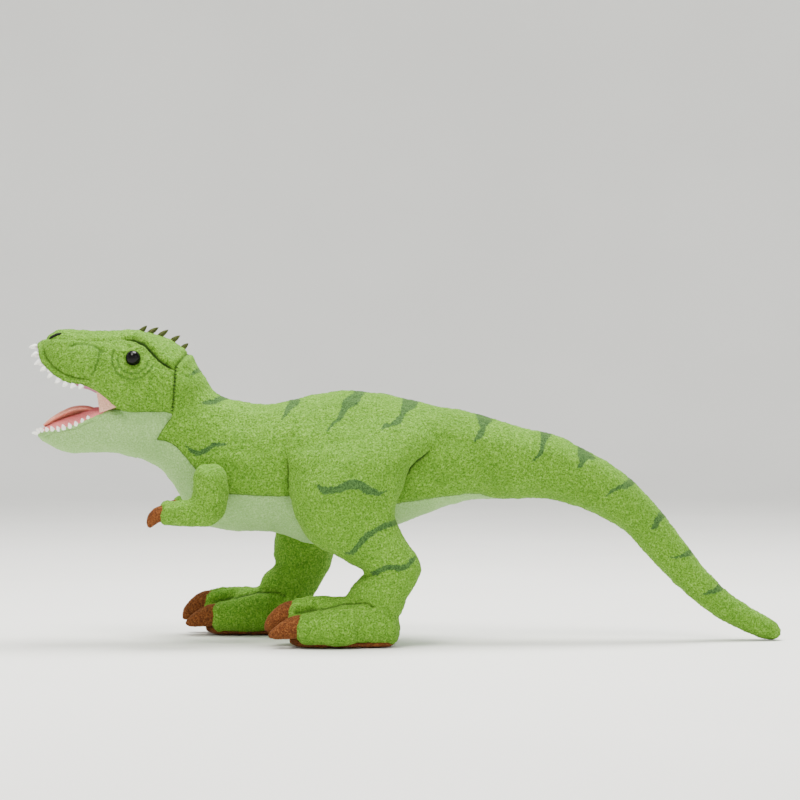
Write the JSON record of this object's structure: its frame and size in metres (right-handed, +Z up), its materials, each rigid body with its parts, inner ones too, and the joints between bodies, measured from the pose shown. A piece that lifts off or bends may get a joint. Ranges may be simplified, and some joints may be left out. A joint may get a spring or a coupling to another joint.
{
  "type": "stuffed dinosaur",
  "caption": "Stuffed tyrannosaur standing on flat fabric soles, with an open toothed mouth and a head, jaw, arms, legs and tail that bend and spring back.",
  "frame": {"origin": "on the floor, under the middle of the bounding box", "axes": "+X along the length towards the tail tip, +Z up, +Y towards the toy's right side, so the nose points to -X"},
  "size_m": [0.4966, 0.1314, 0.209],
  "materials": {
    "green_plush": "short pile, mottled yellow-green with muted sage stripes",
    "pale_plush": "short pile, pale green",
    "brown_plush": "short nap, tan brown",
    "mouth_lining": "smooth knit, pink",
    "tongue_felt": "smooth knit, salmon",
    "white_felt": "felt, off-white",
    "olive_felt": "felt, dark olive",
    "dark_thread": "embroidery thread, black",
    "black_eye": "moulded, glossy black",
    "washer_plastic": "moulded, natural white",
    "stuffing": "loose polyester fibre, white"
  },
  "bodies": {
    "torso": {"torso_stuffing": "stuffing", "belly_panel": "pale_plush", "torso_panel_left": "green_plush", "torso_panel_right": "green_plush"},
    "head": {"neck_stuffing": "stuffing", "throat_panel": "pale_plush", "neck_panel_left": "green_plush", "neck_panel_right": "green_plush", "crown_panel": "green_plush", "head_panel_left": "green_plush", "head_panel_right": "green_plush", "palate": "mouth_lining", "head_stuffing": "stuffing", "eye_left": "black_eye", "eye_washer_left": "washer_plastic", "eye_right": "black_eye", "eye_washer_right": "washer_plastic", "crest_scales": "olive_felt", "nostril_stitches": "dark_thread", "upper_teeth": "white_felt"},
    "jaw": {"jaw_panel": "pale_plush", "mouth_floor": "mouth_lining", "jaw_stuffing": "stuffing", "tongue": "tongue_felt", "lower_teeth": "white_felt"},
    "arm_left": {"arm_cover_left": "green_plush", "arm_stuffing_left": "stuffing", "arm_claws_left": "brown_plush"},
    "arm_right": {"arm_cover_right": "green_plush", "arm_stuffing_right": "stuffing", "arm_claws_right": "brown_plush"},
    "leg_left": {"leg_outer_panel_left": "green_plush", "leg_inner_panel_left": "green_plush", "leg_stuffing_left": "stuffing", "sole_left": "brown_plush", "toe_claws_left": "brown_plush"},
    "leg_right": {"leg_outer_panel_right": "green_plush", "leg_inner_panel_right": "green_plush", "leg_stuffing_right": "stuffing", "sole_right": "brown_plush", "toe_claws_right": "brown_plush"},
    "tail": {"tail_stuffing": "stuffing", "tail_panel_left": "green_plush", "tail_panel_right": "green_plush"},
    "tail_tip": {"tail_tip_stuffing": "stuffing", "tail_tip_panel_left": "green_plush", "tail_tip_panel_right": "green_plush"}
  },
  "joints": [
    {"name": "neck_nod", "type": "hinge", "parent": "torso", "child": "head", "pos_m": [-0.145, 0, 0.14], "axis": [0, 1, 0], "range_deg": [-12, 12], "stiffness_Nm_per_rad": 2},
    {"name": "jaw_close", "type": "hinge", "parent": "head", "child": "jaw", "pos_m": [-0.188, 0, 0.15], "axis": [0, 1, 0], "range_deg": [-8, 16], "stiffness_Nm_per_rad": 0.5},
    {"name": "arm_left_swing", "type": "hinge", "parent": "torso", "child": "arm_left", "pos_m": [-0.128, -0.047, 0.106], "axis": [0, 1, 0], "range_deg": [-35, 35], "stiffness_Nm_per_rad": 0.2},
    {"name": "arm_right_swing", "type": "hinge", "parent": "torso", "child": "arm_right", "pos_m": [-0.128, 0.047, 0.106], "axis": [0, 1, 0], "range_deg": [-35, 35], "stiffness_Nm_per_rad": 0.2},
    {"name": "leg_left_swing", "type": "hinge", "parent": "torso", "child": "leg_left", "pos_m": [-0.037, -0.04, 0.113], "axis": [0, 1, 0], "range_deg": [-8, 8], "stiffness_Nm_per_rad": 4},
    {"name": "leg_right_swing", "type": "hinge", "parent": "torso", "child": "leg_right", "pos_m": [-0.037, 0.04, 0.113], "axis": [0, 1, 0], "range_deg": [-8, 8], "stiffness_Nm_per_rad": 4},
    {"name": "tail_wag", "type": "hinge", "parent": "torso", "child": "tail", "pos_m": [0.05, 0, 0.122], "axis": [0, 0, 1], "range_deg": [-20, 20], "stiffness_Nm_per_rad": 1},
    {"name": "tail_tip_lift", "type": "hinge", "parent": "tail", "child": "tail_tip", "pos_m": [0.15, 0, 0.086], "axis": [0, -1, 0], "range_deg": [0, 25], "stiffness_Nm_per_rad": 0.4}
  ]
}
